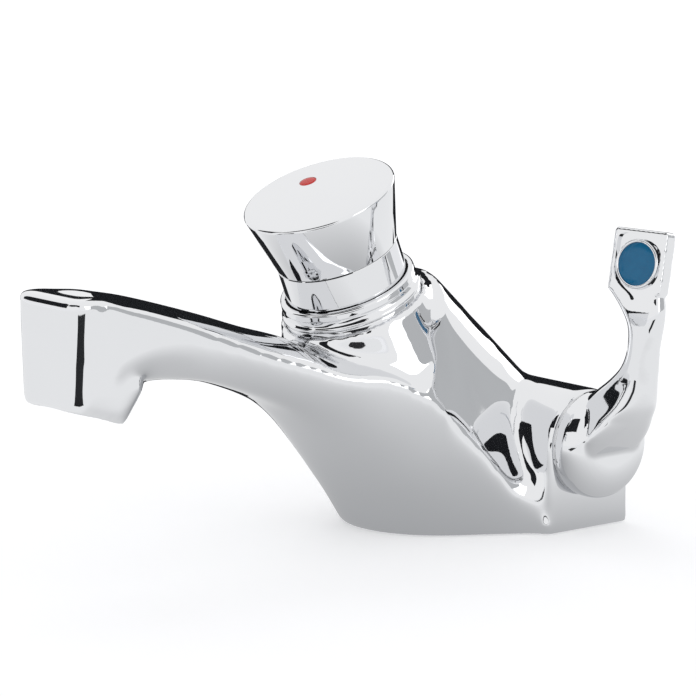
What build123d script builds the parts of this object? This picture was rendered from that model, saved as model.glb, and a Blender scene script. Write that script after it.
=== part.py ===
from build123d import *
import math
import os

os.makedirs("parts", exist_ok=True)

# A push button timed basin tap with a mixing lever, in millimetres.
# The spout points to -Y, the lever is on the +X side and the tap stands on z = 0.
# The origin is the centre of the round front of the base, where the fixing stud screws in.

# Clearances, and how far a cutting shape runs past what it cuts
running_gap = 0.06
seat_gap = 0.02
free_gap = 0.3
cut_over = 2.0

# Base outline and the cross housing for the mixing gear at the rear
base_front_radius = 25.4
flank_half_width = 33.0
flank_rear_y = 4.0
flank_turn_x = 19.0
housing_width = 28.1
housing_right = 37.2
housing_left = 34.0
housing_edge_round = 1.0
housing_left_round = 6.0
base_rim_height = 3.0
mixer_y = 20.8
mixer_z = 23.2

# Spout and nose
spout_reach = 133.1
spout_top = 74.8
nose_top_width = 26.0
nose_top_length = 9.5
nose_bottom_width = 22.0
nose_bottom_length = 20.2
nose_middle_z = 50.0
nose_middle_width = 23.0
nose_middle_length = 25.8
nose_corner = 4.6
nose_top_round = 1.2
outlet_centre_z = 43.5
outlet_tilt = 17.0
waterway_radius = 4.5
waterway_turn_y = 60.0
waterway_turn_z = 46.0
waterway_start_y = 28.0
waterway_start_z = 26.0
waterway_end_y = 119.0
waterway_end_z = 65.0

# Neck, tilted forward, and the spine that runs from it down to the cross housing
button_lean = 22.0
ledge_y = 29.5
ledge_z = 61.4
neck_radius = 19.6
neck_depth = 27.0
neck_foot_radius = 26.2
spine_start_back = 6.9
spine_start_drop = 8.5
spine_end_forward = 5.5
spine_end_drop = 6.8
spine_front_radius = 21.7
spine_rear_radius = 22.5
web_start = 4.0
web_end = 56.0
web_rise = 4.0
web_rise_inset = 0.6
web_front_half_width = 26.6
web_front_drop = 10.8
web_front_foot = 14.0
web_front_foot_drop = 24.0
web_rear_half_width = 33.6
web_rear_drop = 16.5
web_rear_foot = 26.0
web_rear_foot_drop = 18.0
corner_fill_height = 14.0
corner_fill_inner_x = 25.0
corner_fill_top_x = 33.5
corner_fill_top_y = 3.0
corner_fill_inset = 0.8

# Bores of the body
chamber_radius = 14.0
counterbore_radius = 18.3
counterbore_depth = 10.0
mixer_bore_radius = 10.6
mixer_end_room = 2.0
duct_radius = 3.2
duct_z = 24.0
stud_hole_radius = 3.4
stud_hole_depth = 11.0
inlet_x = 18.0
inlet_y = 8.0
inlet_thread_radius = 4.6
inlet_thread_depth = 7.0
inlet_pocket_radius = 4.4
inlet_pocket_top = 24.0
gasket_groove_inset = 3.0
gasket_width = 2.2
gasket_depth = 1.5

# Push button
button_travel = 7.0
button_stand = 32.0
cap_height = 17.0
cap_top_radius = 20.5
cap_top_round = 0.8
cap_waist_radius = 16.2
cap_crown = 2.6
cap_rim_wall = 1.0
cap_side_wall = 2.3
cap_boss_radius = 5.0
cap_boss_length = 9.5
cap_boss_bore_depth = 8.0
spigot_length = 3.0
skirt_wall = 2.2
skirt_end = 2.5
dot_radius = 2.25
dot_x = -9.0
dot_back = 4.6
dot_depth = 0.8

# Collar that screws into the neck round the button
collar_height = 6.0
collar_radius = 18.8
collar_round = 1.9
collar_bore_radius = 16.6
collar_sleeve_depth = 7.0
wiper_height = 1.5
wiper_base = 3.0
wiper_outer_radius = 17.4

# Timing cartridge, along the button's axis below the ledge
head_flange = 3.0
head_hub_top = 4.0
head_spigot_end = 18.0
stem_radius = 4.0
stem_thread_radius = 3.0
stem_tail_radius = 2.5
o_ring_radius = 0.88
stem_ring_radius = 0.76
head_ring_depth = 14.0
stem_ring_depth = 5.0
piston_top = 18.5
piston_height = 4.0
piston_radius = 11.8
piston_groove_radius = 9.8
piston_groove_height = 2.0
clip_height = 0.7
clip_radius = 4.2
jet_radius = 1.4
jet_bore_radius = 0.4
jet_offset = 7.5
sleeve_bore_radius = 12.2
sleeve_end = 36.0
sleeve_relief_radius = 13.1
sleeve_relief_start = 29.5
sleeve_relief_end = 34.8
port_depth = 32.5
port_radius = 1.6
port_count = 6
seat_height = 3.5
seat_bore_radius = 6.0
seat_lip_radius = 7.5
seat_lip_height = 0.5
disc_radius = 9.0
disc_height = 2.0
holder_height = 1.2
holder_radius = 8.5
disc_nut_height = 1.8
disc_nut_width = 8.0
spring_coil_radius = 9.5
spring_wire_radius = 0.75
spring_turns = 6

# Mixing gear on the X axis through the cross housing
mixer_sleeve_bore_radius = 8.0
gland_spigot_length = 4.0
barrel_end_wall = 1.7
barrel_cavity_radius = 5.5
barrel_port_radius = 2.8
barrel_port_angle = 28.0
barrel_slot_half = 4.0
barrel_slot_angle = 60.0
barrel_ring_x = 10.0
barrel_ring_radius = 0.8
shaft_radius = 4.5
shaft_end = 44.8
thrust_height = 0.9
gland_end = 36.4
shaft_ring_x = 29.0
shaft_ring_radius = 0.72
lever_washer_height = 1.0
lever_washer_radius = 13.6

# Lever
hub_radius = 14.2
hub_rim = 2.2
hub_dome = 5.6
hub_start = 38.5
lever_height = 58.6
plate_height = 16.6
plate_width = 16.4
plate_thickness = 4.4
plate_centre_x = 55.3
plate_centre_y = 21.6
plate_yaw = 13.0
plate_lean = 13.0
plate_round = 0.8
badge_drop = 9.1
bezel_radius = 6.5
bezel_wall = 0.9
bezel_depth = 1.0
bezel_stand = 0.4
badge_stand = 0.1
grub_radius = 2.0
grub_length = 6.0
grub_x = 41.8
grub_socket_radius = 1.0
grub_socket_depth = 2.0

# Outlet pieces
aerator_radius = 8.0
aerator_wall = 1.2
aerator_height = 9.0
aerator_recess = 0.6
aerator_shelf = 1.0
insert_height = 4.5
insert_hole_radius = 0.9
insert_hole_rings = 2
mesh_thickness = 0.6
mesh_hole = 0.9
mesh_pitch = 1.5
outlet_washer_height = 1.6
outlet_bore_radius = 5.4
outlet_bore_depth = 23.0

# Non-return valves and strainers in the two inlets
strainer_thickness = 0.6
strainer_pitch = 1.3
strainer_hole = 0.8
check_height = 8.8
check_wall = 0.9
check_seat_height = 1.5
check_seat_bore = 2.2
poppet_radius = 2.9
poppet_height = 1.2
poppet_stem_radius = 0.9
poppet_travel = 1.5
check_bridge_height = 1.2
check_spring_radius = 1.75
check_spring_wire = 0.25
check_spring_turns = 4

# Heights on the button's axis that follow from the pieces stacked on it
waist_height = button_stand - cap_height
ceiling_height = button_stand - cap_crown
boss_end = ceiling_height - cap_boss_length
piston_bottom = -piston_top - piston_height
piston_middle = -piston_top - piston_height / 2
disc_top = -sleeve_end - seat_height - seat_lip_height
holder_top = disc_top - disc_height
nut_top = holder_top - holder_height
stem_end = nut_top - disc_nut_height
chamber_end = stem_end - button_travel - free_gap
seat_middle = -sleeve_end - seat_height / 2

# Lengths along the mixer's axis that follow from the inlets' places
barrel_length_half = inlet_x + barrel_port_radius + barrel_end_wall
mixer_bore_end = barrel_length_half + mixer_end_room
mixer_sleeve_end = barrel_length_half + gland_spigot_length

# Heights on an inlet's axis
valve_low = inlet_thread_depth + strainer_thickness + seat_gap
valve_top = valve_low + check_height

# Where things lie
tilt_y = math.sin(math.radians(button_lean))
tilt_z = math.cos(math.radians(button_lean))
button_frame = Location(Plane((0, -ledge_y, ledge_z), x_dir=(1, 0, 0), z_dir=(0, -tilt_y, tilt_z)))
mixer_frame = Location(Plane((0, mixer_y, mixer_z), x_dir=(0, 1, 0), z_dir=(1, 0, 0)))
outlet_sin = math.sin(math.radians(outlet_tilt))
outlet_cos = math.cos(math.radians(outlet_tilt))
outlet_y = spout_reach - nose_bottom_length / 2 * outlet_cos
outlet_plane = Plane((0, -outlet_y, outlet_centre_z), x_dir=(1, 0, 0), z_dir=(0, outlet_sin, outlet_cos))
outlet_frame = Location(outlet_plane)
housing_front = mixer_y - housing_width / 2
housing_rear = mixer_y + housing_width / 2


def turned(outline):
    """A solid of revolution about the local Z axis, from (radius, height) points."""
    face = make_face(Polyline(*[(r, 0, z) for r, z in outline], close=True))
    return revolve(face, Axis.Z)


def tube(inner, outer, low, high):
    """A ring of rectangular section between two heights on the local Z axis."""
    return turned([(inner, low), (outer, low), (outer, high), (inner, high)])


def rod(radius, low, high):
    return Pos(0, 0, low) * Cylinder(radius, high - low, align=(Align.CENTER, Align.CENTER, Align.MIN))


def groove(bore, outer, middle, half):
    """A cutter for a groove round a shaft or in a bore, half to each side of its middle."""
    return tube(bore, outer, middle - half, middle + half)


def between(start, end, radius):
    """A round bar from one point to another."""
    a, b = Vector(*start), Vector(*end)
    bar = Cylinder(radius, (b - a).length, align=(Align.CENTER, Align.CENTER, Align.MIN))
    return Location(Plane(a, z_dir=(b - a).normalized())) * bar


def spring(coil_radius, wire_radius, low, high, turns):
    """A compression spring as one swept wire, with its ends inside low and high."""
    bottom, top = low + wire_radius, high - wire_radius
    pitch = (top - bottom) / turns
    path = Pos(0, 0, bottom) * Helix(pitch, top - bottom, coil_radius)
    section = Plane(path @ 0, z_dir=path % 0) * Circle(wire_radius)
    print("spring gap between turns", round(pitch - 2 * wire_radius, 2))
    return sweep(section, path=path, is_frenet=True)


def keep(name, shape):
    shape.label = name
    export_step(shape, os.path.join("parts", name + ".step"))


def eased(rows, steps):
    """Rows of shares with smoothly curved steps between them, through every row given."""
    full = []
    for index in range(len(rows) - 1):
        before, start = rows[max(index - 1, 0)], rows[index]
        end, after = rows[index + 1], rows[min(index + 2, len(rows) - 1)]
        for step in range(steps):
            t = step / steps
            row = []
            for a, b, c, d in zip(before, start, end, after):
                bend = (c - a) * t + (2 * a - 5 * b + 4 * c - d) * t**2 + (3 * b - a - 3 * c + d) * t**3
                row.append(b + bend / 2)
            full.append(tuple(row))
    return full + [rows[-1]]


# The body: spout stations from the nose down to the base.
# Each has the place of its lower edge and of its top edge, its half width, how full its side is
# low down and high up, and how far its top is crowned.
station_shares = [
    (0.846, 0.556, 0.930, 0.988, 0.00, 0.86, 0.97, 0.10),
    (0.812, 0.596, 0.905, 0.974, 0.00, 0.86, 0.97, 0.18),
    (0.773, 0.634, 0.874, 0.953, 0.00, 0.86, 0.97, 0.24),
    (0.716, 0.660, 0.812, 0.917, 0.00, 0.85, 0.97, 0.30),
    (0.626, 0.652, 0.721, 0.858, 0.00, 0.84, 0.97, 0.34),
    (0.537, 0.630, 0.633, 0.795, 0.06, 0.84, 0.97, 0.35),
    (0.432, 0.580, 0.539, 0.727, 0.14, 0.82, 0.96, 0.34),
    (0.339, 0.525, 0.453, 0.674, 0.26, 0.80, 0.95, 0.31),
    (0.265, 0.465, 0.381, 0.624, 0.40, 0.77, 0.93, 0.24),
    (0.195, 0.370, 0.292, 0.602, 0.59, 0.74, 0.91, 0.17),
    (0.117, 0.235, 0.204, 0.503, 0.75, 0.70, 0.88, 0.10),
    (0.082, 0.170, 0.123, 0.361, 0.865, 0.67, 0.86, 0.08),
    (0.052, 0.111, 0.051, 0.207, 0.94, 0.64, 0.84, 0.06),
    (0.023, 0.045, 0.005, 0.060, 0.985, 0.60, 0.81, 0.04),
    (0.000, 0.000, 0.000, 0.000, 1.00, 0.58, 0.79, 0.03),
]
station_steps = 3
side_low_share = 0.30
side_high_share = 0.65


def station(shares):
    low_y, low_z, top_y, top_z, width, low_side, high_side, crown = shares
    low = Vector(0, -base_front_radius - low_y * (spout_reach - base_front_radius), low_z * spout_top)
    top = Vector(0, flank_rear_y - top_y * (flank_rear_y + spout_reach), top_z * spout_top)
    half = nose_top_width / 2 + width * (flank_half_width - nose_top_width / 2)
    height = (top - low).length
    plane = Plane(low, x_dir=(1, 0, 0), z_dir=Vector(1, 0, 0).cross((top - low).normalized()))
    side = [(half, height), (half * high_side, height * side_high_share)]
    side.append((half * low_side, height * side_low_share))
    under = Spline(*side, (0, 0), *[(-x, y) for x, y in reversed(side)])
    over = ThreePointArc((-half, height), (0, height + half * crown), (half, height))
    return plane * make_face(Curve() + [under, over])


def footprint():
    """The outline on the deck: a round front, two straight flanks and the housing's block."""
    turn_y = -math.sqrt(base_front_radius**2 - flank_turn_x**2)
    front = ThreePointArc((-flank_turn_x, turn_y), (0, -base_front_radius), (flank_turn_x, turn_y))
    right = [(flank_turn_x, turn_y), (flank_half_width, flank_rear_y)]
    right += [(housing_right, housing_front), (housing_right, housing_rear)]
    left = [(-housing_left, housing_rear), (-housing_left, housing_front)]
    left += [(-flank_half_width, flank_rear_y), (-flank_turn_x, turn_y)]
    return make_face(Curve() + [front, Polyline(*right, *left)])


def cross_housing():
    """An arch along X that holds the mixing gear, with a domed blind end on the left."""
    sill = [(housing_rear, 0), (housing_front, 0), (housing_front, mixer_z)]
    arch = ThreePointArc(
        (housing_front, mixer_z), (mixer_y, mixer_z + housing_width / 2), (housing_rear, mixer_z)
    )
    outline = Curve() + [Polyline(*sill), arch, Line((housing_rear, mixer_z), (housing_rear, 0))]
    start = Plane((-housing_left, 0, 0), x_dir=(0, 1, 0), z_dir=(1, 0, 0))
    arch_bar = extrude(start * make_face(outline), housing_left + housing_right)
    ends = arch_bar.faces().sort_by(Axis.X)
    left_edges = ends[0].edges().sort_by(Axis.Z)[1:]
    arch_bar = fillet(left_edges, housing_left_round)
    ends = arch_bar.faces().sort_by(Axis.X)
    return fillet(ends[-1].edges().sort_by(Axis.Z)[1:], housing_edge_round)


def nose():
    bottom = outlet_plane * RectangleRounded(nose_bottom_width, nose_bottom_length, nose_corner)
    top_centre_y = nose_top_length / 2 - spout_reach
    top_plane = Plane((0, top_centre_y, spout_top))
    top = top_plane * RectangleRounded(nose_top_width, nose_top_length, nose_corner)
    middle_plane = Plane((0, nose_middle_length / 2 - spout_reach, nose_middle_z))
    middle = middle_plane * RectangleRounded(nose_middle_width, nose_middle_length, nose_corner)
    block = loft([bottom, middle, top], ruled=True)
    return fillet(block.faces().sort_by(Axis.Z)[-1].edges(), nose_top_round)


def mirrored(right):
    """A flat face from the (x, y) points of its right side, with the left side to match."""
    return make_face(Polyline(*right, *[(-x, y) for x, y in reversed(right)], close=True))


def spine():
    """The ridge from the neck down to the cross housing, with a web that spreads out below it."""
    start = Vector(0, spine_start_back - ledge_y, ledge_z - spine_start_drop)
    end = Vector(0, mixer_y - spine_end_forward, mixer_z - spine_end_drop)
    along = (end - start).normalized()
    reach = (end - start).length
    ridge_plane = Plane(start, x_dir=(1, 0, 0), z_dir=along)
    ridge = Solid.make_cone(spine_front_radius, spine_rear_radius, reach, ridge_plane)
    front = [(spine_front_radius - web_rise_inset, -web_rise), (web_front_half_width, web_front_drop)]
    front.append((web_front_foot, web_front_foot_drop))
    rear = [(spine_rear_radius - web_rise_inset, -web_rise), (web_rear_half_width, web_rear_drop)]
    rear.append((web_rear_foot, web_rear_foot_drop))
    levels = []
    for place, right in ((web_start, front), (web_end, rear)):
        level = Plane(start + along * place, x_dir=(1, 0, 0), z_dir=along)
        levels.append(level * mirrored(right))
    return ridge + loft(levels, ruled=True)


def corner_fill(side, reach):
    """The low wedge that joins the lobe's flank to the housing's front corner, on one side."""
    back = housing_front + corner_fill_inset
    inner = [(side * corner_fill_inner_x, back), (side * corner_fill_inner_x, 0)]
    foot = [(side * (flank_half_width - corner_fill_inset), flank_rear_y)]
    foot += [(side * (reach - corner_fill_inset), housing_front), (side * (reach - corner_fill_inset), back)]
    crown = [(side * (corner_fill_top_x - corner_fill_top_y), -corner_fill_top_y)]
    crown += [(side * corner_fill_top_x, housing_front), (side * corner_fill_top_x, back)]
    low = Pos(0, 0, corner_fill_inset) * make_face(Polyline(*foot, *inner, close=True))
    high = Pos(0, 0, corner_fill_height) * make_face(Polyline(*crown, *inner, close=True))
    return loft([low, high], ruled=True)


def waterways():
    """All the bores and pockets that are cut out of the body."""
    washer_top = aerator_recess + aerator_height + outlet_washer_height
    cuts = [
        button_frame * rod(chamber_radius, chamber_end, 0),
        button_frame * rod(counterbore_radius, -counterbore_depth, cut_over),
        mixer_frame * rod(mixer_bore_radius, -mixer_bore_end, housing_right + cut_over),
        between((0, mixer_y, duct_z), (0, 0, duct_z), duct_radius),
        rod(stud_hole_radius, -cut_over, stud_hole_depth),
        outlet_frame * rod(aerator_radius + seat_gap, -cut_over, washer_top),
        outlet_frame * rod(outlet_bore_radius, 0, outlet_bore_depth),
    ]
    bend = (0, -waterway_turn_y, waterway_turn_z)
    cuts.append(between((0, -waterway_start_y, waterway_start_z), bend, waterway_radius))
    cuts.append(between(bend, (0, -waterway_end_y, waterway_end_z), waterway_radius))
    cuts.append(Pos(*bend) * Sphere(waterway_radius))
    for side in (-1, 1):
        inlet = Pos(side * inlet_x, inlet_y, 0)
        cuts.append(inlet * rod(inlet_thread_radius, -cut_over, inlet_thread_depth))
        cuts.append(inlet * rod(inlet_pocket_radius, 0, inlet_pocket_top))
    return cuts


def gasket(low, high, gap):
    """The ring that follows the footprint, set in from its edge."""
    outer = offset(footprint(), -gasket_groove_inset + gap)
    inner = offset(footprint(), -gasket_groove_inset - gasket_width - gap)
    return extrude(Plane((0, 0, low)) * (outer - inner), high - low)


def tap_body():
    shell = loft([station(shares) for shares in eased(station_shares, station_steps)], ruled=True)
    shell += nose()
    shell += extrude(footprint(), base_rim_height)
    shell += cross_housing()
    neck = Cone(neck_foot_radius, neck_radius, neck_depth, align=(Align.CENTER, Align.CENTER, Align.MAX))
    shell += button_frame * neck
    shell += spine()
    shell += corner_fill(1, housing_right)
    shell += corner_fill(-1, housing_left)
    for cut in waterways():
        shell -= cut
    return shell - gasket(-cut_over, gasket_depth, 0)


def button_cap():
    """The inverted cone that the hand pushes, hollow, with a boss for the stem."""
    inner = cap_waist_radius - cap_rim_wall
    ceiling_radius = cap_top_radius - cap_side_wall
    cap = turned(
        [
            (0, boss_end),
            (cap_boss_radius, boss_end),
            (cap_boss_radius, ceiling_height),
            (ceiling_radius, ceiling_height),
            (inner, waist_height + spigot_length),
            (inner, waist_height),
            (cap_waist_radius, waist_height),
            (cap_top_radius, button_stand),
            (0, button_stand),
        ]
    )
    cap = fillet(cap.edges().sort_by(Axis.Z)[-1], cap_top_round)
    cap -= rod(stem_thread_radius + seat_gap, boss_end - cut_over, boss_end + cap_boss_bore_depth)
    dot_pocket = rod(dot_radius + seat_gap, button_stand - dot_depth, button_stand + cut_over)
    return cap - Pos(dot_x, dot_back, 0) * dot_pocket


def button_skirt():
    """The plain cylinder below the cap, pressed into it by a short spigot."""
    spigot = cap_waist_radius - cap_rim_wall - seat_gap
    inner = cap_waist_radius - skirt_wall
    spigot_top = waist_height + spigot_length
    outline = [(inner, skirt_end), (cap_waist_radius, skirt_end), (cap_waist_radius, waist_height)]
    return turned(outline + [(spigot, waist_height), (spigot, spigot_top), (inner, spigot_top)])


def collar_nut():
    """The chrome ring round the skirt, with its threaded sleeve and the wiper's groove."""
    sleeve = counterbore_radius - seat_gap
    outline = [(collar_bore_radius, -collar_sleeve_depth), (sleeve, -collar_sleeve_depth), (sleeve, 0)]
    outline += [(collar_radius, 0), (collar_radius, collar_height), (collar_bore_radius, collar_height)]
    nut = turned(outline)
    top = nut.edges().filter_by(GeomType.CIRCLE).group_by(Axis.Z)[-1].sort_by(SortBy.RADIUS)[-1]
    nut = fillet(top, collar_round)
    groove_top = wiper_base + wiper_height + seat_gap
    return nut - tube(0, wiper_outer_radius + seat_gap, wiper_base, groove_top)


def cartridge_head():
    """The bush that the button and its stem slide on."""
    base = -counterbore_depth
    guide = cap_waist_radius - skirt_wall - running_gap
    bore = stem_radius + running_gap
    flange = counterbore_radius - seat_gap
    spigot = chamber_radius - seat_gap
    outline = [(bore, -head_spigot_end), (spigot, -head_spigot_end), (spigot, base), (flange, base)]
    outline += [(flange, base + head_flange), (guide, base + head_flange), (guide, head_hub_top)]
    head = turned(outline + [(bore, head_hub_top)])
    half = o_ring_radius + seat_gap
    head -= groove(chamber_radius - 2 * half, chamber_radius + cut_over, -head_ring_depth, half)
    half = stem_ring_radius + seat_gap
    return head - groove(0, bore + 2 * half, -stem_ring_depth, half)


def stem():
    """The rod from the cap down to the valve disc, stepped for the piston and the disc."""
    top = boss_end + cap_boss_bore_depth - free_gap
    outline = [(0, stem_end), (stem_tail_radius, stem_end), (stem_tail_radius, -piston_top)]
    outline += [(stem_radius, -piston_top), (stem_radius, boss_end), (stem_thread_radius, boss_end)]
    return turned(outline + [(stem_thread_radius, top), (0, top)])


def piston():
    """The timing piston, with a groove for its lip seal and a hole for the jet."""
    bore = stem_tail_radius + seat_gap
    disc = tube(bore, piston_radius, piston_bottom, -piston_top)
    disc -= groove(piston_groove_radius, piston_radius + cut_over, piston_middle, piston_groove_height / 2)
    jet_hole = rod(jet_radius + seat_gap, piston_bottom - cut_over, cut_over - piston_top)
    return disc - Pos(jet_offset, 0, 0) * jet_hole


def timing_sleeve():
    """The tube that the piston slides in, with a ring of outlet ports near its foot."""
    outer = chamber_radius - seat_gap
    outline = [(sleeve_bore_radius, -sleeve_end), (outer, -sleeve_end), (outer, -sleeve_relief_end)]
    outline += [(sleeve_relief_radius, -sleeve_relief_end), (sleeve_relief_radius, -sleeve_relief_start)]
    outline += [(outer, -sleeve_relief_start), (outer, -head_spigot_end)]
    wall = turned(outline + [(sleeve_bore_radius, -head_spigot_end)])
    port = Pos(0, 0, -port_depth) * Rot(90, 0, 0) * rod(port_radius, 0, chamber_radius + cut_over)
    for turn in range(port_count):
        wall -= Rot(0, 0, turn * 360 / port_count) * port
    return wall


def valve_seat():
    """The ring with a raised lip that the rubber disc closes against from below."""
    low = -sleeve_end - seat_height
    outer = chamber_radius - seat_gap
    outline = [(seat_bore_radius, disc_top), (seat_lip_radius, disc_top), (seat_lip_radius, low)]
    seat = turned(outline + [(outer, low), (outer, -sleeve_end), (seat_bore_radius, -sleeve_end)])
    half = o_ring_radius + seat_gap
    return seat - groove(chamber_radius - 2 * half, chamber_radius + cut_over, seat_middle, half)


def mixing_barrel():
    """The hollow rotor that blends the two supplies, with its shaft to the lever."""
    bore = mixer_sleeve_bore_radius - running_gap
    shaft_low = barrel_length_half - cut_over
    body = rod(bore, -barrel_length_half, barrel_length_half) + rod(shaft_radius, shaft_low, shaft_end)
    body -= rod(barrel_cavity_radius, -barrel_length_half, barrel_length_half - barrel_end_wall)
    port = Rot(0, -90, 0) * rod(barrel_port_radius, 0, mixer_bore_radius)
    for side in (-1, 1):
        body -= Pos(0, 0, side * inlet_x) * Rot(0, 0, side * barrel_port_angle) * port
    slot = Pos(0, 0, -barrel_slot_half) * Cylinder(
        mixer_bore_radius,
        2 * barrel_slot_half,
        arc_size=2 * barrel_slot_angle,
        rotation=(0, 0, 180 - barrel_slot_angle),
        align=(Align.NONE, Align.NONE, Align.MIN),
    )
    body -= slot - rod(barrel_cavity_radius / 2, -barrel_slot_half, barrel_slot_half)
    half = barrel_ring_radius + seat_gap
    for side in (-1, 1):
        body -= groove(bore - 2 * half, mixer_bore_radius, side * barrel_ring_x, half)
    return body


def mixing_sleeve():
    """The liner that the barrel turns in, open to both inlets and to the timing chamber."""
    outer = mixer_bore_radius - seat_gap
    liner = tube(mixer_sleeve_bore_radius, outer, -mixer_bore_end + seat_gap, mixer_sleeve_end)
    port = Rot(0, -90, 0) * rod(barrel_port_radius, 0, mixer_bore_radius + cut_over)
    for place in (-inlet_x, 0, inlet_x):
        liner -= Pos(0, 0, place) * port
    return liner


def mixing_gland():
    """The screwed plug that closes the mixer bore and carries the shaft."""
    bore = shaft_radius + running_gap
    outer = mixer_bore_radius - seat_gap
    spigot = mixer_sleeve_bore_radius - seat_gap
    face = barrel_length_half + thrust_height + running_gap
    outline = [(bore, face), (spigot, face), (spigot, mixer_sleeve_end), (outer, mixer_sleeve_end)]
    plug = turned(outline + [(outer, gland_end), (bore, gland_end)])
    half = shaft_ring_radius + seat_gap
    return plug - groove(0, bore + 2 * half, shaft_ring_x, half)


def plate_place():
    """Where the lever's flat plate is: its middle, turned outwards and leaning back at the top."""
    middle = Pos(plate_centre_x, plate_centre_y, mixer_z + lever_height - plate_height / 2)
    return middle * Rot(0, 0, plate_yaw) * Rot(-plate_lean, 0, 0)


# The lever's arm from inside the hub up into the plate: for each level its share of the lever's
# height, then the middle along X and Y and the two widths as shares of the hub's radius, and how
# far the level is turned to the plate's yaw
arm_shares = [
    (-0.16, 0.19, 0.00, 0.31, 1.20, 0.00),
    (-0.06, 0.22, 0.00, 0.43, 1.35, 0.00),
    (0.04, 0.42, 0.00, 0.84, 1.42, 0.00),
    (0.12, 0.575, 0.00, 1.15, 1.28, 0.05),
    (0.19, 0.685, 0.00, 1.33, 1.05, 0.12),
    (0.25, 0.84, 0.00, 1.18, 0.87, 0.25),
    (0.32, 1.06, 0.00, 0.87, 0.69, 0.45),
    (0.39, 1.24, -0.01, 0.66, 0.58, 0.65),
    (0.48, 1.36, -0.04, 0.58, 0.50, 0.85),
    (0.58, 1.44, -0.07, 0.68, 0.415, 1.00),
    (0.66, 1.37, -0.08, 0.90, 0.36, 1.00),
    (0.73, 1.19, -0.065, 1.12, 0.31, 1.00),
]
arm_steps = 3
arm_round_share = 0.40


def lever():
    """The chrome lever: a domed hub on the shaft, an arm that sweeps up, and a flat plate."""
    hub_face = hub_start + hub_rim
    outline = make_face(
        Curve()
        + [
            Polyline((0, 0, hub_start), (hub_radius, 0, hub_start), (hub_radius, 0, hub_face)),
            Spline(
                (hub_radius, 0, hub_face),
                (0, 0, hub_face + hub_dome),
                tangents=[(0, 0, 1), (-1, 0, 0)],
            ),
            Line((0, 0, hub_face + hub_dome), (0, 0, hub_start)),
        ]
    )
    shape = mixer_frame * revolve(outline, Axis.Z)
    levels = []
    for height, centre_x, centre_y, width_x, width_y, turn in eased(arm_shares, arm_steps):
        middle = (hub_start + centre_x * hub_radius, mixer_y + centre_y * hub_radius)
        size = (width_x * hub_radius, width_y * hub_radius)
        level = Pos(*middle, mixer_z + height * lever_height) * Rot(0, 0, turn * plate_yaw)
        levels.append(level * RectangleRounded(*size, arm_round_share * min(size)))
    shape += loft(levels, ruled=True)
    plate = Box(plate_width, plate_thickness, plate_height)
    plate = fillet(plate.edges().filter_by(Axis.Y), plate_round)
    shape += plate_place() * plate
    shape -= mixer_frame * rod(shaft_radius + seat_gap, hub_start - cut_over, shaft_end + seat_gap)
    shape -= plate_place() * badge_seat()
    grub = Pos(grub_x, mixer_y, mixer_z) * Rot(-90, 0, 0)
    return shape - grub * rod(grub_radius + seat_gap, 0, hub_radius + cut_over)


def badge_seat():
    """The round pocket in the plate's front face."""
    face = plate_thickness / 2
    place = Pos(0, 0, plate_height / 2 - badge_drop) * Rot(90, 0, 0)
    return place * rod(bezel_radius + seat_gap, face - bezel_depth, face + cut_over)


def badge_place():
    """The middle of the badge on the plate's front face, looking out of it."""
    face = plate_thickness / 2
    return plate_place() * Pos(0, 0, plate_height / 2 - badge_drop) * Rot(90, 0, 0) * Pos(0, 0, face)


def grub_screw():
    """A hexagon socket set screw that locks the hub on the shaft."""
    screw = rod(grub_radius, shaft_radius + seat_gap, shaft_radius + grub_length)
    socket = RegularPolygon(grub_socket_radius, 6)
    top = shaft_radius + grub_length
    return screw - Pos(0, 0, top - grub_socket_depth) * extrude(socket, grub_socket_depth + cut_over)


def holed_disc(radius, low, height, hole, pitch, edge):
    """A flat strainer: a disc with a square field of round holes inside a plain rim."""
    disc = rod(radius, low, low + height)
    count = int((radius - edge) / pitch)
    places = []
    for row in range(-count, count + 1):
        for column in range(-count, count + 1):
            x, y = column * pitch, row * pitch
            if math.hypot(x, y) + hole / 2 < radius - edge:
                places.append(Pos(x, y, low - hole) * rod(hole / 2, 0, height + 2 * hole))
    return disc - places


def aerator_insert():
    """The moulded flow straightener, with rings of small passages."""
    radius = aerator_radius - aerator_wall - seat_gap
    low = aerator_recess + aerator_shelf + mesh_thickness + seat_gap
    disc = rod(radius, low, low + insert_height)
    step = radius / (insert_hole_rings + 1)
    for ring_number in range(1, insert_hole_rings + 1):
        count = 6 * ring_number
        for turn in range(count):
            place = Rot(0, 0, turn * 360 / count) * Pos(ring_number * step, 0, 0)
            disc -= place * rod(insert_hole_radius, low - cut_over, low + insert_height + cut_over)
    return disc


def check_body():
    """A non-return valve's barrel, with a seat below and a bridge above that guides the poppet."""
    outer = inlet_pocket_radius - seat_gap
    inner = outer - check_wall
    seat_top = valve_low + check_seat_height
    outline = [(check_seat_bore, valve_low), (outer, valve_low), (outer, valve_top), (inner, valve_top)]
    shell = turned(outline + [(inner, seat_top), (check_seat_bore, seat_top)])
    bridge_low = valve_top - check_bridge_height
    bar = Rectangle(2 * inner + check_wall, 2 * check_wall)
    shell += Pos(0, 0, bridge_low) * extrude(bar, check_bridge_height)
    shell += rod(poppet_stem_radius + check_wall, bridge_low, valve_top)
    return shell - rod(poppet_stem_radius + running_gap, bridge_low - cut_over, valve_top + cut_over)


def check_poppet():
    """The valve's mushroom: a flat head on the seat and a stem up through the bridge."""
    low = valve_low + check_seat_height
    head = rod(poppet_radius, low, low + poppet_height)
    return head + rod(poppet_stem_radius, low, valve_top + poppet_travel / 2)


keep("tap_body", tap_body())
keep("base_gasket", gasket(0, gasket_depth - seat_gap, -seat_gap))

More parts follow.
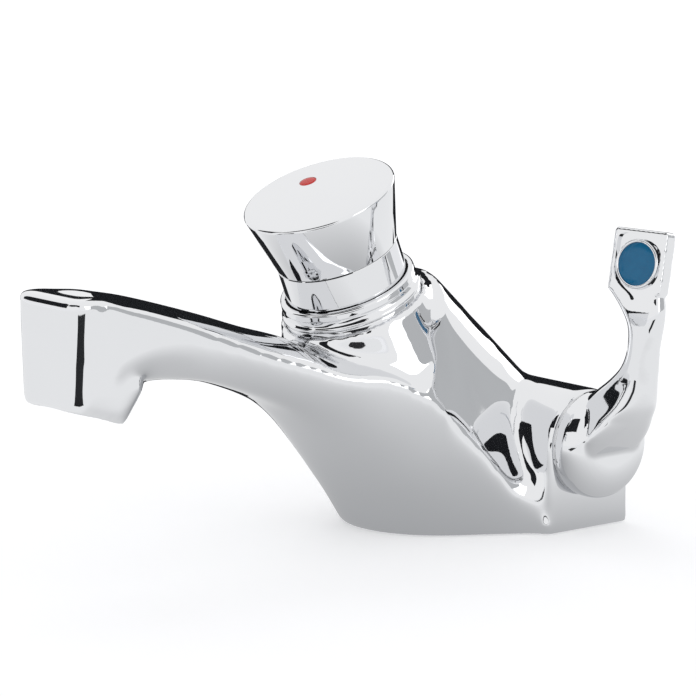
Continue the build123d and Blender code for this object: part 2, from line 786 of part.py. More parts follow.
# The button, which slides down the tilted axis
keep("button_cap", button_frame * button_cap())
keep("button_skirt", button_frame * button_skirt())
dot = rod(dot_radius, button_stand - dot_depth, button_stand)
keep("red_indicator", button_frame * Pos(dot_x, dot_back, 0) * dot)
keep("collar_nut", button_frame * collar_nut())
wiper = tube(cap_waist_radius + running_gap, wiper_outer_radius, wiper_base, wiper_base + wiper_height)
keep("collar_wiper", button_frame * wiper)
keep("cartridge_head", button_frame * cartridge_head())
head_ring = Pos(0, 0, -head_ring_depth) * Torus(chamber_radius - o_ring_radius - seat_gap, o_ring_radius)
keep("head_o_ring", button_frame * head_ring)
stem_seal = Torus(stem_radius + running_gap + stem_ring_radius, stem_ring_radius)
keep("stem_o_ring", button_frame * Pos(0, 0, -stem_ring_depth) * stem_seal)
keep("button_stem", button_frame * stem())
keep("timing_piston", button_frame * piston())
lip_half = piston_groove_height / 2 - seat_gap
lip_ring = tube(
    piston_groove_radius + seat_gap,
    sleeve_bore_radius - running_gap,
    piston_middle - lip_half,
    piston_middle + lip_half,
)
keep("piston_lip_seal", button_frame * lip_ring)
tail_bore = stem_tail_radius + seat_gap
piston_clip = tube(tail_bore, clip_radius, piston_bottom - clip_height, piston_bottom)
keep("piston_clip", button_frame * piston_clip)
jet = tube(jet_bore_radius, jet_radius, piston_bottom, -piston_top)
keep("timing_jet", button_frame * Pos(jet_offset, 0, 0) * jet)
keep("timing_sleeve", button_frame * timing_sleeve())
keep("valve_seat", button_frame * valve_seat())
seat_ring = Torus(chamber_radius - o_ring_radius - seat_gap, o_ring_radius)
keep("seat_o_ring", button_frame * Pos(0, 0, seat_middle) * seat_ring)
keep("valve_disc", button_frame * tube(tail_bore, disc_radius, holder_top, disc_top))
keep("disc_holder", button_frame * tube(tail_bore, holder_radius, nut_top, holder_top))
hexagon = RegularPolygon(disc_nut_width / 2, 6, major_radius=False)
disc_nut = Pos(0, 0, stem_end) * extrude(hexagon, disc_nut_height)
disc_nut -= rod(tail_bore, stem_end - cut_over, nut_top + cut_over)
keep("disc_nut", button_frame * disc_nut)
coil_low = head_hub_top + seat_gap
coil_high = ceiling_height - seat_gap
return_spring = spring(spring_coil_radius, spring_wire_radius, coil_low, coil_high, spring_turns)
keep("return_spring", button_frame * return_spring)

# The mixing gear, which the lever turns
keep("mixing_barrel", mixer_frame * mixing_barrel())
barrel_ring = Torus(mixer_sleeve_bore_radius - running_gap - barrel_ring_radius, barrel_ring_radius)
barrel_rings = [Pos(0, 0, side * barrel_ring_x) * barrel_ring for side in (-1, 1)]
keep("barrel_o_rings", mixer_frame * Compound(barrel_rings))
keep("mixing_sleeve", mixer_frame * mixing_sleeve())
thrust_low = barrel_length_half + running_gap / 2
thrust_washer = tube(
    shaft_radius + running_gap, mixer_sleeve_bore_radius - seat_gap, thrust_low, thrust_low + thrust_height
)
keep("thrust_washer", mixer_frame * thrust_washer)
keep("mixing_gland", mixer_frame * mixing_gland())
shaft_seal = Torus(shaft_radius + running_gap + shaft_ring_radius, shaft_ring_radius)
keep("shaft_o_ring", mixer_frame * Pos(0, 0, shaft_ring_x) * shaft_seal)
lever_washer = tube(
    shaft_radius + free_gap, lever_washer_radius, housing_right, housing_right + lever_washer_height
)
keep("lever_washer", mixer_frame * lever_washer)
keep("mixing_lever", lever())
bezel_bore = bezel_radius - bezel_wall
keep("badge_bezel", badge_place() * tube(bezel_bore, bezel_radius, -bezel_depth, bezel_stand))
keep("badge_disc", badge_place() * rod(bezel_bore - seat_gap, -bezel_depth, badge_stand))
keep("lever_grub_screw", Pos(grub_x, mixer_y, mixer_z) * Rot(-90, 0, 0) * grub_screw())

# The outlet in the nose
inner_radius = aerator_radius - aerator_wall
aerator_top = aerator_recess + aerator_height
shell_outline = [(inner_radius - aerator_shelf, aerator_recess), (aerator_radius, aerator_recess)]
shell_outline += [(aerator_radius, aerator_top), (inner_radius, aerator_top)]
shelf_top = aerator_recess + aerator_shelf
shell_outline += [(inner_radius, shelf_top), (inner_radius - aerator_shelf, shelf_top)]
keep("aerator_housing", outlet_frame * turned(shell_outline))
net = holed_disc(inner_radius - seat_gap, shelf_top, mesh_thickness, mesh_hole, mesh_pitch, aerator_shelf)
keep("aerator_mesh", outlet_frame * net)
keep("aerator_insert", outlet_frame * aerator_insert())
washer_top = aerator_top + outlet_washer_height - seat_gap
outlet_washer = tube(outlet_bore_radius, aerator_radius, aerator_top, washer_top)
keep("aerator_washer", outlet_frame * outlet_washer)

# The two inlets
for side_name, side in (("left", -1), ("right", 1)):
    inlet_frame = Pos(side * inlet_x, inlet_y, 0)
    rim = inlet_pocket_radius - seat_gap
    thickness = strainer_thickness
    strainer = holed_disc(rim, inlet_thread_depth, thickness, strainer_hole, strainer_pitch, check_wall)
    keep("inlet_strainer_" + side_name, inlet_frame * strainer)
    keep("check_body_" + side_name, inlet_frame * check_body())
    keep("check_poppet_" + side_name, inlet_frame * check_poppet())
    coil_low = valve_low + check_seat_height + poppet_height + seat_gap
    coil_high = valve_top - check_bridge_height - seat_gap
    coil = spring(check_spring_radius, check_spring_wire, coil_low, coil_high, check_spring_turns)
    keep("check_spring_" + side_name, inlet_frame * coil)
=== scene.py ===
import math

import bpy
import numpy as np
from mathutils import Matrix, Vector


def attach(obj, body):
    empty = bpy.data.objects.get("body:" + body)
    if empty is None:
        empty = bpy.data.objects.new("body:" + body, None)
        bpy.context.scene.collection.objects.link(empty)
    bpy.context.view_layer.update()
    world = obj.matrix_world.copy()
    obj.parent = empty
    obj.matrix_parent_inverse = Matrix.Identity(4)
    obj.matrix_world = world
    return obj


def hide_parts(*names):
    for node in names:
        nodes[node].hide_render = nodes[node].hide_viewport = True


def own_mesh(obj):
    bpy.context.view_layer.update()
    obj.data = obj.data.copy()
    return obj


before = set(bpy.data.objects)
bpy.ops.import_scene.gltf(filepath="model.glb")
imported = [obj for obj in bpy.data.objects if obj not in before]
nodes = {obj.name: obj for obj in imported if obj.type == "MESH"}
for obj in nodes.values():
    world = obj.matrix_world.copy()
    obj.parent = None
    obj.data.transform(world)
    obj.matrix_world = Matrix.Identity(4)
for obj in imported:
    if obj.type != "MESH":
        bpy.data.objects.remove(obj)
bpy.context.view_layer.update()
scene = bpy.context.scene
scene.view_settings.view_transform = "Standard"
bpy.ops.object.select_all(action="DESELECT")

# The photograph was taken with a long lens from the front right, a little above the tap.
# The camera stands where a fit of the tap's edges to the picture put it.
image_width = 696
focal_pixels = 8000
film_width = 36
farthest_seen = 20
camera_turn = math.radians(48.59)
camera_dip = math.radians(10.60)
camera_roll = math.radians(0.16)
look_at = Vector((0, -0.03109, 0.04926))
camera_distance = 2.08497
sight = Vector((
    -math.sin(camera_turn) * math.cos(camera_dip),
    math.cos(camera_turn) * math.cos(camera_dip),
    -math.sin(camera_dip),
))
bpy.ops.object.camera_add(location=look_at - camera_distance * sight)
camera = bpy.context.object
camera.name = "photo_camera"
aim = sight.to_track_quat("-Z", "Y") @ Matrix.Rotation(camera_roll, 3, "Z").to_quaternion()
camera.rotation_euler = aim.to_euler()
camera.data.sensor_width = film_width
camera.data.lens = film_width * focal_pixels / image_width
camera.data.clip_end = farthest_seen
scene.camera = camera


# The tap's body is one brass casting, machined, polished and chrome plated. The pattern's radii fill
# its inner corners and the polishing wheel eases its edges, so a copy of the frame's node is skinned
# over by an even mesh and relaxed at both.
class Socket:
    """One output of a shader node, so that the maths of a pattern reads as plain sums."""

    def __init__(self, owner, output):
        self.owner = owner
        self.output = output

    def combine(self, operation, first, second):
        return self.owner.node("ShaderNodeMath", {"operation": operation}, {0: first, 1: second})

    def __add__(self, other):
        return self.combine("ADD", self, other)

    def __radd__(self, other):
        return self.combine("ADD", other, self)

    def __mul__(self, other):
        return self.combine("MULTIPLY", self, other)

    def __rmul__(self, other):
        return self.combine("MULTIPLY", other, self)


class Tree:
    """The node tree of a material or of the world."""

    def __init__(self, owner):
        owner.use_nodes = True
        self.tree = owner.node_tree

    def node(self, kind, settings=None, inputs=None, out=0):
        made = self.tree.nodes.new(kind)
        for key, value in (settings or {}).items():
            setattr(made, key, value)
        for key, value in (inputs or {}).items():
            if isinstance(value, Socket):
                self.tree.links.new(value.output, made.inputs[key])
            else:
                made.inputs[key].default_value = value
        return Socket(self, made.outputs[out])

    def mix(self, factor, first, second):
        """A colour between two: a colour Mix node takes them at its sockets 6 and 7."""
        return self.node("ShaderNodeMix", {"data_type": "RGBA"}, {0: factor, 6: first, 7: second}, out=2)

    def seen(self):
        """1 for the rays that show a thing itself or its image in metal and glass."""
        names = ("Is Camera Ray", "Is Glossy Ray", "Is Transmission Ray")
        camera_ray, glossy_ray, through_ray = [self.node("ShaderNodeLightPath", out=name) for name in names]
        return camera_ray + glossy_ray + through_ray


class Finish(Tree):
    """A surface finish on the Principled shader, patterned in the piece's own coordinates."""

    def __init__(self, name, metallic=0.0, **fixed):
        self.material = bpy.data.materials.new(name)
        super().__init__(self.material)
        self.shader = self.tree.nodes["Principled BSDF"]
        self.shader.inputs["Metallic"].default_value = metallic
        for socket, value in fixed.items():
            self.shader.inputs[socket.replace("_", " ")].default_value = value
        self.place = self.node("ShaderNodeTexCoord", out="Object")

    def noise(self, scale, detail=3.0):
        return self.node("ShaderNodeTexNoise", None, {"Vector": self.place, "Scale": scale, "Detail": detail})

    def drive(self, socket, value):
        self.tree.links.new(value.output, self.shader.inputs[socket])

    def bump(self, height, strength, distance):
        inputs = {"Height": height, "Strength": strength, "Distance": distance}
        self.drive("Normal", self.node("ShaderNodeBump", None, inputs))

    def on(self, *pieces):
        for piece in pieces:
            piece.data.materials.clear()
            piece.data.materials.append(self.material)


mm = 0.001
smeared_chrome = (0.955, 0.965, 0.985)
clean_chrome = (0.985, 0.992, 1.01)
fine_smear_share = 0.35
wave_strength = 0.12


def chrome(name, tint, gloss, smear, waviness=0.0):
    """Chrome plate, with faint smears of handling and the slight waves of the polishing wheel."""
    finish = Finish(name, metallic=1.0)
    cloud = finish.noise(scale=38.0, detail=4.0)
    fine = finish.noise(scale=420.0, detail=2.0)
    smeared, clean = [tuple(tint * part for part in hue) + (1,) for hue in (smeared_chrome, clean_chrome)]
    finish.drive("Base Color", finish.mix(cloud, smeared, clean))
    finish.drive("Roughness", gloss + smear * cloud + fine_smear_share * smear * fine)
    if waviness:
        finish.bump(finish.noise(scale=95.0, detail=1.0), wave_strength, waviness)
    return finish


def merged_copy(node, name):
    """A copy of a frame node as a piece of its own, with its loose triangles joined."""
    copy = nodes[node].copy()
    copy.data = nodes[node].data.copy()
    for key in list(copy.keys()):
        del copy[key]
    copy.parent = None
    copy.name = name
    scene.collection.objects.link(copy)
    bpy.ops.object.select_all(action="DESELECT")
    copy.select_set(True)
    bpy.context.view_layer.objects.active = copy
    bpy.ops.object.mode_set(mode="EDIT")
    bpy.ops.mesh.select_all(action="SELECT")
    bpy.ops.mesh.remove_doubles(threshold=0.004 * mm)
    bpy.ops.object.mode_set(mode="OBJECT")
    return copy


def casting(node, name, grain, inner_passes, edge_passes, edge_hold):
    """A casting skinned over a frame node in one even mesh, with filled corners and eased edges."""
    copy = merged_copy(node, name)
    remesh = copy.modifiers.new("skin", "REMESH")
    remesh.mode = "VOXEL"
    remesh.voxel_size = grain
    bpy.ops.object.modifier_apply(modifier=remesh.name)
    hollow, sharp = corner_weights(copy)
    relax(copy, "inner corners", hollow, inner_passes)
    relax(copy, "outer edges", 1 - edge_hold * sharp, edge_passes)
    bpy.ops.object.shade_smooth()
    return copy


def vertex_rows(mesh, what):
    """The places or normals of a mesh's vertices, as rows of X, Y and Z."""
    flat = np.empty(len(mesh.vertices) * 3)
    mesh.vertices.foreach_get(what, flat)
    return flat.reshape(-1, 3)


def corner_weights(piece):
    """For each vertex, how near it lies to a hollow corner and to a sharp outer edge, from 0 to 1."""
    mesh = piece.data
    count = len(mesh.vertices)
    place = vertex_rows(mesh, "co")
    normal = vertex_rows(mesh, "normal")
    ends = np.empty(len(mesh.edges) * 2, dtype=np.int64)
    mesh.edges.foreach_get("vertices", ends)
    one_end, other_end = ends.reshape(-1, 2).T

    def spread(values, passes):
        """Evens values out along the mesh's edges, half of the way in each pass."""
        degree = np.bincount(one_end, minlength=count) + np.bincount(other_end, minlength=count)
        for _ in range(passes):
            total = np.bincount(one_end, values[other_end], count)
            total += np.bincount(other_end, values[one_end], count)
            values = 0.5 * values + 0.5 * total / np.maximum(degree, 1)
        return values

    def marked(bend, start, passes, gain, steepness=8):
        """Close to 1 where the bend passes its start, and in a band round there."""
        return np.clip(spread(np.clip((bend - start) * steepness, 0, 1), passes) * gain, 0, 1)

    edge_length = np.linalg.norm(place[one_end] - place[other_end], axis=1).mean()
    pull = np.stack([spread(place[:, axis], 3) for axis in range(3)], axis=1) - place
    bend = (pull * normal).sum(axis=1) / edge_length
    hollow = marked(bend, start=0.10, passes=10, gain=3.0)
    sharp = marked(-bend, start=0.12, passes=3, gain=2.5)
    return spread(hollow, 6), spread(sharp, 2)


def relax(piece, name, weights, passes, levels=20):
    """Smooths a piece where its weights are high. The weights are rounded to a number of levels."""
    group = piece.vertex_groups.new(name=name)
    for level in range(1, levels + 1):
        low = (level - 0.5) / levels
        chosen = np.nonzero((weights >= low) & (weights < low + 1 / levels))[0]
        if len(chosen):
            group.add([int(i) for i in chosen], level / levels, "REPLACE")
    smooth = piece.modifiers.new(name, "SMOOTH")
    smooth.factor = 0.5
    smooth.iterations = passes
    smooth.vertex_group = name
    bpy.ops.object.modifier_apply(modifier=smooth.name)
    piece.vertex_groups.clear()


def replace(piece, node, body):
    """Puts a finished piece in a node's place: hides the node and sets the piece on its body."""
    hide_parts(node)
    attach(piece, body)


body = casting("tap_body", "body_casting", grain=0.8 * mm, inner_passes=120, edge_passes=24, edge_hold=0.3)

# The trough between the lobe, the spine and the housing is one smooth hollow that runs out in a
# point above the base. It is relaxed inside a box, in millimetres, and only its outer edges are kept.
trough_low = (7.0, -22.0, 1.5)
trough_high = (36.0, 8.0, 58.0)
trough_border = 3.0
edge_guard = 1.5
sharp = corner_weights(body)[1]
spot = vertex_rows(body.data, "co") / mm
trough = np.clip(1 - edge_guard * sharp, 0, 1)
for axis, (low, high) in enumerate(zip(trough_low, trough_high)):
    trough *= np.clip((spot[:, axis] - low) / trough_border, 0, 1)
    trough *= np.clip((high - spot[:, axis]) / trough_border, 0, 1)
relax(body, "trough", trough, passes=180)
chrome("body_chrome", tint=0.82, gloss=0.020, smear=0.020, waviness=0.04 * mm).on(body)
replace(body, "tap_body", "tap")

# The button's cap is an inverted cone turned from brass bar and plated, with a rounded top rim,
# a boss inside for the stem, and a small pocket in its flat top for the red dot.
crease = math.radians(32)


def lathe(name, profile, place, steps=144):
    """Spins a closed profile of (radius, height) points, in millimetres, about the place's Z axis."""
    smallest_radius = 0.0005
    bpy.ops.object.select_all(action="DESELECT")
    points = [(max(radius, smallest_radius) * mm, height * mm) for radius, height in profile]
    radius, height = points[0]
    bpy.ops.mesh.primitive_circle_add(vertices=steps, radius=radius)
    piece = bpy.context.object
    piece.name = name
    bpy.ops.object.mode_set(mode="EDIT")
    bpy.ops.mesh.select_all(action="SELECT")
    bpy.ops.transform.translate(value=(0, 0, height))
    for next_radius, next_height in points[1:] + points[:1]:
        bpy.ops.mesh.extrude_edges_move(TRANSFORM_OT_translate={"value": (0, 0, next_height - height)})
        grow = next_radius / radius
        bpy.ops.transform.resize(value=(grow, grow, 1), center_override=(0, 0, next_height))
        radius, height = next_radius, next_height
    bpy.ops.mesh.select_all(action="SELECT")
    bpy.ops.mesh.remove_doubles(threshold=0.002 * mm)
    bpy.ops.mesh.delete_loose()
    bpy.ops.mesh.select_all(action="SELECT")
    bpy.ops.mesh.normals_make_consistent(inside=False)
    bpy.ops.object.mode_set(mode="OBJECT")
    piece.data.transform(place)
    bpy.ops.object.shade_smooth_by_angle(angle=crease)
    return piece


def cut(piece, cutter):
    """Takes a cutter's shape out of a piece and throws the cutter away."""
    bpy.ops.object.select_all(action="DESELECT")
    piece.select_set(True)
    bpy.context.view_layer.objects.active = piece
    difference = piece.modifiers.new("cut", "BOOLEAN")
    difference.operation = "DIFFERENCE"
    difference.solver = "EXACT"
    difference.object = cutter
    bpy.ops.object.modifier_apply(modifier=difference.name)
    bpy.data.objects.remove(cutter)
    bpy.ops.object.shade_smooth_by_angle(angle=crease)


def arc(centre, radius, start, end, steps):
    """Points of a profile along an arc, from one angle to another in degrees."""
    angles = [math.radians(start + (end - start) * i / steps) for i in range(steps + 1)]
    return [(centre[0] + radius * math.cos(a), centre[1] + radius * math.sin(a)) for a in angles]


def placed(place, tilt, axis):
    """The place of a piece: where its own origin goes, and its tilt in degrees about one axis."""
    return Matrix.Translation(place) @ Matrix.Rotation(math.radians(tilt), 4, axis)


button_place = placed((0, -0.0295, 0.0614), tilt=22, axis="X")
cap_rim = arc((19.55, 31.25), radius=0.75, start=-14, end=90, steps=8)
cap_outside = [(15.95, 15.02), (16.12, 15.06), (16.22, 15.2)] + cap_rim + [(0, 32)]
cap_boss = [(0, 27.9), (3.02, 27.9), (3.02, 19.9), (5, 19.9), (5, 29.4)]
cap_hollow = [(18.2, 29.4), (15.2, 18), (15.2, 15.02)]
cap = lathe("push_cap", cap_outside + cap_boss + cap_hollow, button_place, steps=192)
dot_place = button_place @ Matrix.Translation((-0.009, 0.0046, 0))
pocket_outline = [(0, 31.18), (2.32, 31.18), (2.32, 34), (0, 34)]
cut(cap, lathe("dot_pocket", pocket_outline, dot_place, steps=64))
chrome("cap_chrome", tint=0.83, gloss=0.016, smear=0.014).on(cap)
replace(cap, "button_cap", "button")

# The skirt is a plain brass tube, plated and pressed on to the cap's spigot. Its ends are broken a
# little, so that a fine groove shows where it meets the cap.
skirt_outside = [(14, 2.5), (15.95, 2.5), (16.2, 2.75), (16.2, 14.75), (16.05, 14.92), (15.2, 14.98)]
skirt_spigot = [(15.18, 18), (14, 18)]
skirt = lathe("button_skirt_tube", skirt_outside + skirt_spigot, button_place, steps=192)
chrome("skirt_chrome", tint=0.82, gloss=0.020, smear=0.018).on(skirt)
replace(skirt, "button_skirt", "button")

# The red dot is a drop of enamel set in the pocket of the cap's top. It stands a hair proud of the
# top, with a rounded edge and a soft shine of its own.
dot_side = [(0, 31.2), (2.25, 31.2), (2.25, 31.95)]
dot_crown = [(2.05, 32.07), (1.3, 32.13), (0, 32.15)]
dot = lathe("red_dot", dot_side + dot_crown, dot_place, steps=64)
red = Finish("red_enamel", Coat_Weight=0.15, Coat_Roughness=0.2, Specular_IOR_Level=0.25)
red_cloud = red.noise(scale=900.0)
red.drive("Base Color", red.mix(red_cloud, (0.58, 0.016, 0.012, 1), (0.72, 0.030, 0.022, 1)))
red.drive("Roughness", 0.22 + 0.10 * red_cloud)
red.on(dot)
replace(dot, "red_indicator", "button")

# The collar is a turned and plated ring that screws into the neck round the skirt. It has a round
# flange with a thinner lip above it, and a groove inside for the wiper.
collar_thread = [(16.6, -7), (18.28, -7), (18.28, 0.02)]
collar_flange = arc((17.9, 1.45), radius=0.9, start=-78, end=60, steps=9) + [(18.02, 2.75)]
collar_step = arc((17.55, 4.1), radius=0.62, start=-45, end=20, steps=4)
collar_lip = arc((17.35, 5.25), radius=0.74, start=0, end=90, steps=6)
collar_groove = [(16.75, 5.95), (16.6, 5.8), (16.6, 4.52), (17.42, 4.52), (17.42, 3), (16.6, 3)]
collar_outline = collar_thread + collar_flange + collar_step + collar_lip + collar_groove
collar = lathe("collar_ring", collar_outline, button_place, steps=192)
chrome("collar_chrome", tint=0.82, gloss=0.026, smear=0.022).on(collar)
replace(collar, "collar_nut", "tap")

# The lever is a zinc casting, polished and plated: a round hub with a shallow dome, an arm that
# sweeps up out of it, and a plate whose face is sunk inside a narrow frame, round the badge.
lever = casting(
    "mixing_lever", "lever_casting", grain=0.34 * mm,
    inner_passes=90, edge_passes=18, edge_hold=0.3,
)
plate_face = 2.2
panel_depth = 0.9
panel_overrun = 1.2
plate_turn = placed((0.0553, 0.0216, 0.0735), tilt=13, axis="Z")
plate_place = plate_turn @ placed((0, 0, 0), tilt=-13, axis="X")
panel_side = [(4.6, 7.0), (5.6, 6.8), (6.4, 6.3), (6.8, 5.5), (6.9, 4.6), (6.9, -2.4), (6.7, -3.7)]
panel_side += [(6.1, -5.0), (5.1, -6.2), (3.7, -7.3), (2.2, -8.2), (1.0, -9.2), (0.35, -10.2)]
panel_outline = panel_side + [(-x, z) for x, z in reversed(panel_side)]
bpy.ops.object.select_all(action="DESELECT")
bpy.ops.mesh.primitive_circle_add(vertices=len(panel_outline), radius=0.01, fill_type="NGON")
panel = bpy.context.object
for vertex, (x, z) in zip(panel.data.vertices, panel_outline):
    vertex.co = (x * mm, -(plate_face + panel_overrun) * mm, z * mm)
bpy.ops.object.mode_set(mode="EDIT")
bpy.ops.mesh.select_all(action="SELECT")
thickness = (0, (panel_overrun + panel_depth) * mm, 0)
bpy.ops.mesh.extrude_region_move(TRANSFORM_OT_translate={"value": thickness})
bpy.ops.mesh.select_all(action="SELECT")
bpy.ops.mesh.normals_make_consistent(inside=False)
bpy.ops.object.mode_set(mode="OBJECT")
panel.data.transform(plate_place)
cut(lever, panel)
chrome("lever_chrome", tint=0.82, gloss=0.018, smear=0.020, waviness=0.03 * mm).on(lever)
replace(lever, "mixing_lever", "lever")

# The washer between the housing and the lever's hub is a thin plated ring that the hub turns
# against. It is turned from brass, with both of its outer edges broken.
mixer_place = placed((0, 0.0208, 0.0232), tilt=90, axis="Y")
washer_outline = [(4.8, 37.2), (13.4, 37.2), (13.6, 37.4), (13.6, 38.0), (13.4, 38.2), (4.8, 38.2)]
washer = lathe("hub_washer", washer_outline, mixer_place)
chrome("washer_chrome", tint=0.66, gloss=0.06, smear=0.05).on(washer)
replace(washer, "lever_washer", "tap")

# The badge is a round plain blue enamel disc, slightly domed. It is held in the plate by a bezel,
# a thin plated ring with a rolled rim.
badge_turn = placed((0, 0, -0.0008), tilt=90, axis="X")
badge_place = plate_place @ badge_turn @ Matrix.Translation((0, 0, plate_face * mm))
bezel_outline = [(5.6, -1), (6.5, -1), (6.5, -0.1)] + arc((6.05, 0), radius=0.45, start=0, end=170, steps=8)
bezel = lathe("badge_ring", bezel_outline, badge_place, steps=96)
chrome("bezel_chrome", tint=0.84, gloss=0.03, smear=0.03).on(bezel)
replace(bezel, "badge_bezel", "lever")
disc_outline = [(0, -1), (5.58, -1), (5.58, -0.12), (5.2, 0), (3.5, 0.07), (1.8, 0.1), (0, 0.1)]
disc = lathe("badge_enamel", disc_outline, badge_place, steps=96)
blue = Finish("blue_enamel", Coat_Weight=0.2, Coat_Roughness=0.05, Specular_IOR_Level=0.3)
blue_cloud = blue.noise(scale=520.0, detail=4.0)
blue.drive("Base Color", blue.mix(blue_cloud, (0.002, 0.125, 0.270, 1), (0.005, 0.165, 0.340, 1)))
blue.drive("Roughness", 0.16 + 0.10 * blue_cloud)
blue.on(disc)
replace(disc, "badge_disc", "lever")

# The outlet's shell is a turned ring with a satin plate, pressed up into the nose. A shelf inside
# it carries the parts that straighten the water.
outlet_place = placed((0, -0.12344, 0.0435), tilt=-17, axis="X")
shell_outline = [(5.8, 0.7), (5.9, 0.6), (7.75, 0.6), (8, 0.85), (8, 9.6), (6.8, 9.6), (6.8, 1.6), (5.8, 1.6)]
shell = lathe("outlet_shell", shell_outline, outlet_place, steps=96)
chrome("outlet_chrome", tint=0.74, gloss=0.16, smear=0.08).on(shell)
replace(shell, "aerator_housing", "tap")


# The working parts inside keep the frame's shapes. Each has the finish of its stock: turned brass,
# drawn stainless wire and pressed mesh, white moulded acetal and black moulded rubber.
def stock(name, light, dark, rough, metallic, grain, depth):
    """The finish of a stock: broad clouds in its colour, and a fine grain in its gloss and surface."""
    finish = Finish(name, metallic=metallic)
    broad = finish.noise(scale=140.0)
    fine = finish.noise(scale=grain, detail=2.0)
    finish.drive("Base Color", finish.mix(broad, dark, light))
    finish.drive("Roughness", 0.8 * rough + 0.4 * rough * fine)
    finish.bump(fine, strength=0.3, distance=depth)
    return finish


brass = stock(
    "turned_brass", light=(0.80, 0.60, 0.27, 1), dark=(0.70, 0.50, 0.21, 1),
    rough=0.28, metallic=1.0, grain=1500.0, depth=0.006 * mm,
)
steel = stock(
    "drawn_steel", light=(0.62, 0.61, 0.60, 1), dark=(0.52, 0.51, 0.50, 1),
    rough=0.30, metallic=1.0, grain=1900.0, depth=0.005 * mm,
)
acetal = stock(
    "white_acetal", light=(0.86, 0.86, 0.83, 1), dark=(0.80, 0.80, 0.76, 1),
    rough=0.42, metallic=0.0, grain=1100.0, depth=0.008 * mm,
)
rubber = stock(
    "black_rubber", light=(0.045, 0.045, 0.046, 1), dark=(0.022, 0.022, 0.023, 1),
    rough=0.62, metallic=0.0, grain=1300.0, depth=0.012 * mm,
)
kinds = {
    brass: "mixing_barrel mixing_gland button_stem disc_holder disc_nut",
    steel: "piston_clip aerator_mesh inlet_strainer_left inlet_strainer_right lever_grub_screw timing_jet",
    acetal: "cartridge_head timing_piston timing_sleeve valve_seat mixing_sleeve thrust_washer "
            "aerator_insert check_body_left check_body_right check_poppet_left check_poppet_right",
    rubber: "base_gasket collar_wiper head_o_ring stem_o_ring seat_o_ring piston_lip_seal valve_disc "
            "barrel_o_rings shaft_o_ring aerator_washer",
}
for finish, names in kinds.items():
    finish.on(*[nodes[name] for name in names.split()])

# The three springs are coiled from drawn steel wire. Each is a smoothed copy of its frame node. The share
# that it would be pressed to along its own axis, by as much as the piece at its other end travels, is worked
# out but not applied.
button_axis = button_place.to_3x3() @ Vector((0, 0, 1))
button_stroke = 7 * mm
poppet_lift = 1.5 * mm
for node, name, joint, away_from_seat, travel in (
    ("return_spring", "button_spring", "push_button", button_axis, button_stroke),
    ("check_spring_left", "left_check_spring", "check_left_lift", (0, 0, -1), poppet_lift),
    ("check_spring_right", "right_check_spring", "check_right_lift", (0, 0, -1), poppet_lift),
):
    coil = merged_copy(node, name)
    bpy.ops.object.shade_smooth_by_angle(angle=crease)
    steel.on(coil)
    replace(coil, node, "tap")
    direction = Vector(away_from_seat)
    heights = [direction.dot(vertex.co) for vertex in coil.data.vertices]
    pressed = 1 - travel / (max(heights) - min(heights))
    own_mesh(coil)

# The studio is a white room. Its walls light the tap evenly, and they show as plain white behind
# it and in the chrome.
white = (1, 1, 1, 1)
room_light = (0.70, 0.705, 0.72, 1)
room = bpy.data.worlds.new("studio_room")
scene.world = room
walls = Tree(room)
wall_colour = walls.mix(walls.seen(), room_light, white)
walls.tree.links.new(wall_colour.output, walls.tree.nodes["Background"].inputs["Color"])


# Three soft lamps stand round the tap: one high behind it on the left, one low behind it and one on
# the right. The high one draws the shadow, and it is kept out of the chrome, where it would burn out
# the cap's flat top.
def heading(turn, rise=0):
    """The direction at a turn about the tap, 0 in front and 90 on its right, and a rise, in degrees."""
    turn = math.radians(turn)
    rise = math.radians(rise)
    return Vector((math.sin(turn) * math.cos(rise), -math.cos(turn) * math.cos(rise), math.sin(rise)))


lamp_distance = 1.5
lamp_target = Vector((0, -0.04, 0.04))
for name, turn, rise, size, power in (
    ("back_lamp", -110, 42, 1.0, 2.9),
    ("wall_lamp", -166, 13, 0.6, 1.2),
    ("side_lamp", 102, 15, 0.7, 1.7),
):
    away = heading(turn, rise)
    bpy.ops.object.light_add(type="AREA", location=lamp_target + lamp_distance * away)
    lamp = bpy.context.object
    lamp.name = name
    lamp.rotation_euler = (-away).to_track_quat("-Z", "Y").to_euler()
    lamp.data.size = size
    lamp.data.energy = power
    lamp.visible_glossy = name != "back_lamp"


# Black cloths hang and lie round the tap out of the picture. They show only in the chrome, as the
# dark lines along its edges and the stripe down the nose.
def only_mirrored(sheet):
    """Shows a sheet of the studio in the chrome and nowhere else."""
    sheet.visible_camera = False
    sheet.visible_diffuse = False
    sheet.visible_shadow = False
    sheet.visible_transmission = False


def spanned(name, corners):
    """A flat sheet between four corners, named in turn round it."""
    bpy.ops.object.select_all(action="DESELECT")
    bpy.ops.mesh.primitive_plane_add(size=1)
    sheet = bpy.context.object
    sheet.name = name
    for vertex, corner in zip(sheet.data.vertices, (corners[0], corners[1], corners[3], corners[2])):
        vertex.co = corner
    return sheet


def hung(turn, half_angle, low, high, far):
    """The corners of an upright sheet: its turn about the tap, half its angle, its heights and distance."""
    middle = Vector((0, -0.05, 0))
    end_distance = far / math.cos(math.radians(half_angle))
    left, right = [middle + end_distance * heading(turn + side * half_angle) for side in (-1, 1)]
    foot, top = Vector((0, 0, low)), Vector((0, 0, high))
    return [left + foot, right + foot, right + top, left + top]


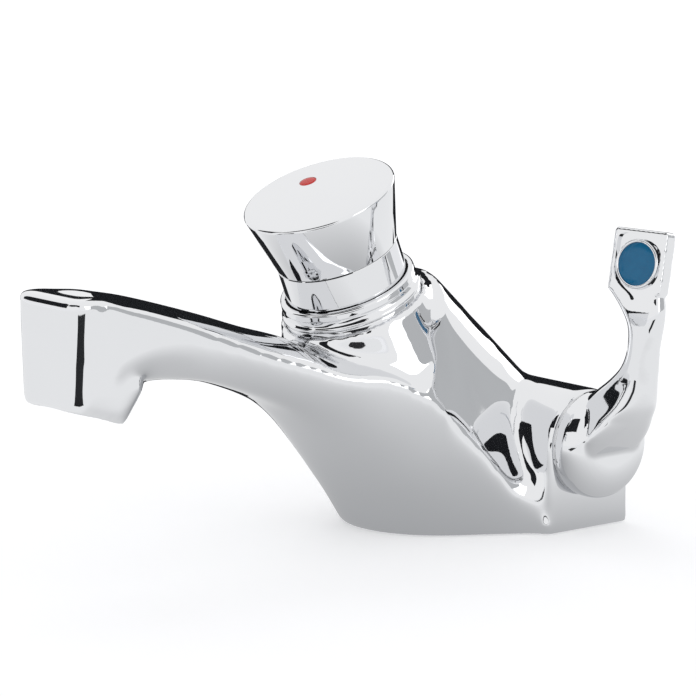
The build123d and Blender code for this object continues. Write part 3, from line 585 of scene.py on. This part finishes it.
black_cloth = Finish("black_cloth", Specular_IOR_Level=0.1)
weave = black_cloth.noise(scale=60.0)
black_cloth.drive("Base Color", black_cloth.mix(weave, (0.010, 0.011, 0.013, 1), (0.020, 0.021, 0.024, 1)))
black_cloth.drive("Roughness", 0.8 + 0.15 * weave)
cloth_height = Vector((0, 0, 0.6 * mm))
under_neck = Vector((0, -0.06, 0)) + cloth_height
back_cloth_span = ((0.13, -161), (0.13, -101), (0.36, -101), (0.36, -161))
nose = Vector((0.011, -0.128, 0)) + cloth_height
from_nose = heading(68)
across = Vector((-from_nose.y, from_nose.x, 0))
near = nose + 0.085 * from_nose
far = nose + 0.28 * from_nose
near_half_width = 0.05
far_half_width = 0.12
cloths = {
    "cloth_behind": hung(turn=-131, half_angle=30, low=0.0, high=0.16, far=0.36),
    "cloth_left": hung(turn=-47, half_angle=14, low=0.12, high=1.10, far=1.2),
    "cloth_back_left": hung(turn=-143, half_angle=13, low=0.10, high=0.70, far=1.2),
    "cloth_over_camera": hung(turn=12, half_angle=40, low=0.66, high=1.75, far=1.2),
    "cloth_behind_on_table": [under_neck + reach * heading(turn) for reach, turn in back_cloth_span],
    "cloth_on_table": [
        near - near_half_width * across, near + near_half_width * across,
        far + far_half_width * across, far - far_half_width * across,
    ],
}
for name, corners in cloths.items():
    strip = spanned(name, corners)
    black_cloth.on(strip)
    only_mirrored(strip)

# Two grey cards show only in the chrome too, and both glow with a light of their own. One lies round the tap
# and carries a painted shadow of the tap, darker close to it, which shades the base's foot and the
# undersides; one stands behind on the right and greys the spine's flank.
bpy.ops.mesh.primitive_circle_add(vertices=64, radius=0.9, location=(0, 0, 0.2 * mm), fill_type="NGON")
low_card = bpy.context.object
low_card.name = "low_grey_card"
# The low card's glow is a painted shadow: it is dimmer close to the tap, in a round falloff about it.
painted_shadow_paper = Finish("painted_shadow_paper", Roughness=1.0, Specular_IOR_Level=0.0)
shade_place = {"Vector": painted_shadow_paper.place, "Location": (0, 0.03, 0), "Scale": (7.5, 7.5, 7.5)}
centred = painted_shadow_paper.node("ShaderNodeMapping", None, shade_place)
painted_tap_shadow = painted_shadow_paper.node("ShaderNodeTexGradient", {"gradient_type": "SPHERICAL"}, {"Vector": centred}, out=1)
painted_shadow_paper.drive("Emission Color", painted_shadow_paper.mix(painted_tap_shadow, (0.95, 0.955, 0.96, 1), (0.34, 0.345, 0.355, 1)))
grey_paper = Finish("grey_paper", Roughness=1.0, Specular_IOR_Level=0.0)
fibre = grey_paper.noise(scale=3.0)
grey_paper.drive("Emission Color", grey_paper.mix(fibre, (0.50, 0.51, 0.52, 1), (0.56, 0.57, 0.58, 1)))
side_card = spanned("side_grey_card", hung(turn=138, half_angle=26, low=0.0, high=0.42, far=0.9))
for card, paper in ((low_card, painted_shadow_paper), (side_card, grey_paper)):
    paper.shader.inputs["Emission Strength"].default_value = 1.0
    paper.shader.inputs["Base Color"].default_value = (0, 0, 0, 1)
    paper.on(card)
    only_mirrored(card)

# The floor is a plain pale sheet of paper, wide enough to reach out of sight on all sides. It is
# dull, and it takes the tap's soft shadow.
bpy.ops.mesh.primitive_plane_add(size=6, location=(0, 0, -0.1 * mm))
floor = bpy.context.object
floor.name = "floor"
floor_paper = Finish("pale_floor", Roughness=1.0, Specular_IOR_Level=0.0)
floor_cloud = floor_paper.noise(scale=2.0)
floor_paper.drive("Base Color", floor_paper.mix(floor_cloud, (0.86, 0.86, 0.865, 1), (0.88, 0.88, 0.885, 1)))
floor_paper.drive("Emission Color", floor_paper.mix(floor_paper.seen(), (0, 0, 0, 1), (0.33, 0.33, 0.33, 1)))
floor_paper.shader.inputs["Emission Strength"].default_value = 1.0
floor_paper.on(floor)
